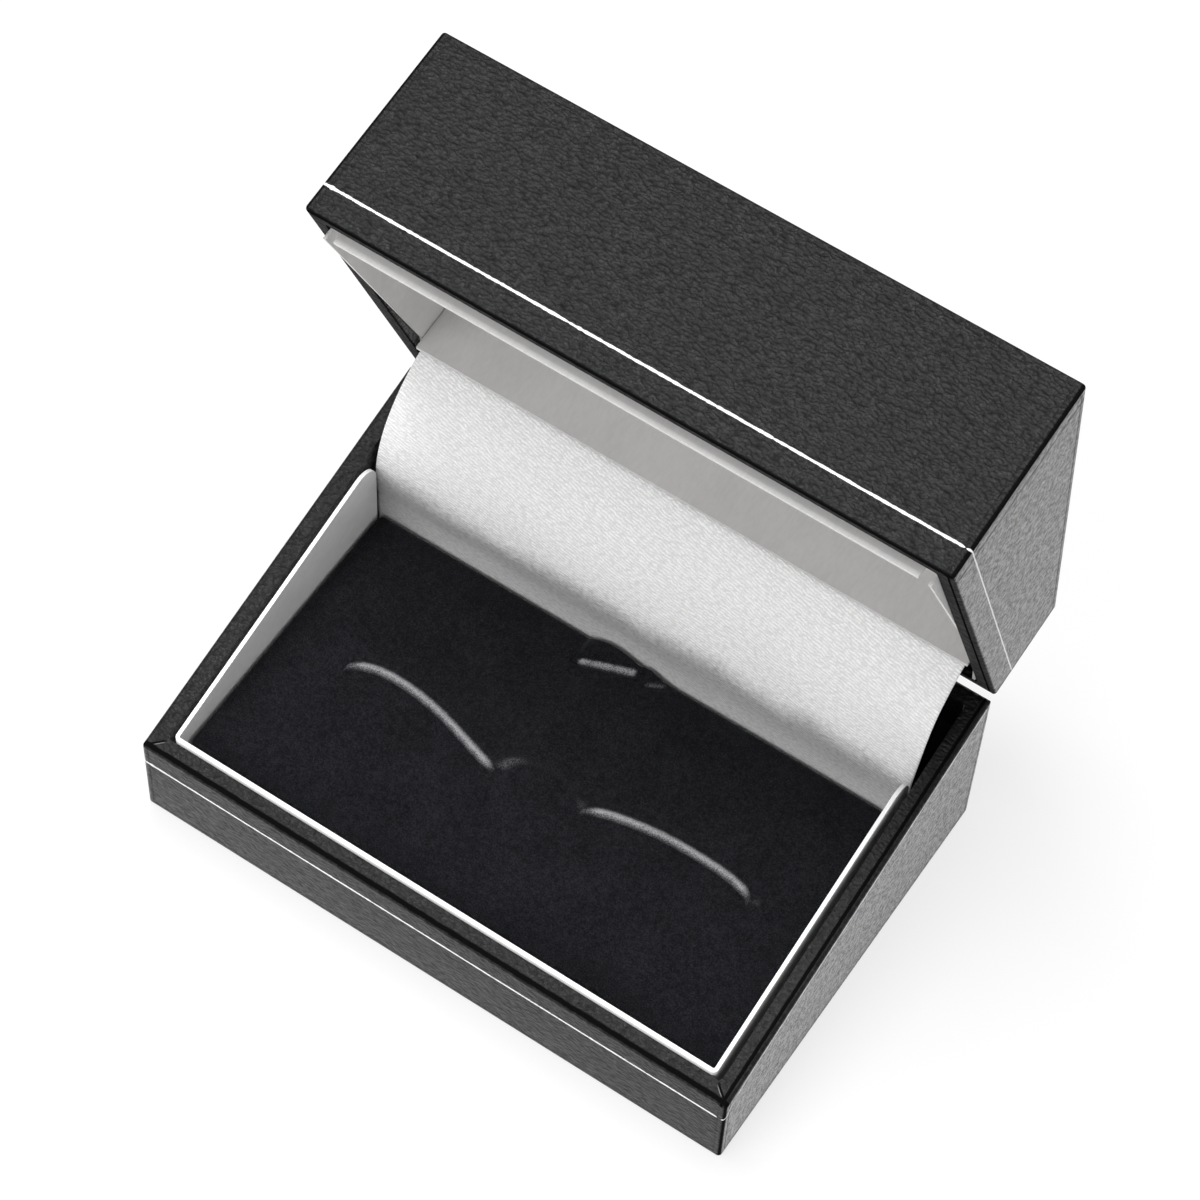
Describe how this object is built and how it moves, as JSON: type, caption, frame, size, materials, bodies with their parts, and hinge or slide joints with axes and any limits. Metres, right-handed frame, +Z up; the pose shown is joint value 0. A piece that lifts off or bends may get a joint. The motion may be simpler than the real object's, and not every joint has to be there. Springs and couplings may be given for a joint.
{
  "type": "cufflink display box",
  "caption": "Open hinged display box in black pebbled leatherette, with a card-lined lid, a white satin drape over the hinge and a lift-out flocked pad with curved slits.",
  "frame": {"origin": "centre of the base's flat underside, on the face it rests on", "axes": "+Z up, away from the resting face; +X to the right as someone facing the open box sees it; -Y towards the low front wall, +Y towards the hinge"},
  "size_m": [0.0852, 0.0723, 0.0863],
  "materials": {
    "moulded_shell": "matt",
    "leatherette": "satin",
    "trim_line": "gloss",
    "base_paper": "matt",
    "white_card": "matt",
    "grey_card": "matt",
    "satin": "satin",
    "steel": "satin",
    "flock": "matt",
    "foam": "matt",
    "lining_card": "matt"
  },
  "bodies": {
    "base": {"base_shell": "moulded_shell", "base_wrap": "leatherette", "base_trim_line": "trim_line", "base_bottom_sheet": "base_paper", "base_collar": "white_card", "pad_riser": "grey_card", "satin_angle": "grey_card", "satin_drape": "satin", "hinge_base_leaf": "steel", "hinge_base_rivets": "steel", "hinge_pin": "steel"},
    "pad": {"pad_flock": "flock", "pad_foam": "foam", "pad_board": "grey_card"},
    "lid": {"lid_shell": "moulded_shell", "lid_wrap": "leatherette", "lid_trim_line": "trim_line", "lid_lining_walls": "lining_card", "lid_lining_top": "lining_card", "lid_hinge_cover": "lining_card", "hinge_lid_leaf": "steel", "hinge_lid_rivets": "steel"}
  },
  "joints": [
    {"name": "lid_hinge", "type": "hinge", "parent": "base", "child": "lid", "pos_m": [0, 0.02875, 0.0274], "axis": [-1, 0, 0], "range_deg": [-82.3, 0], "deforming": ["satin_drape"]},
    {"name": "pad_lift", "type": "slide", "parent": "base", "child": "pad", "axis": [0, 0, 1], "range_m": [0, 0.022]}
  ]
}
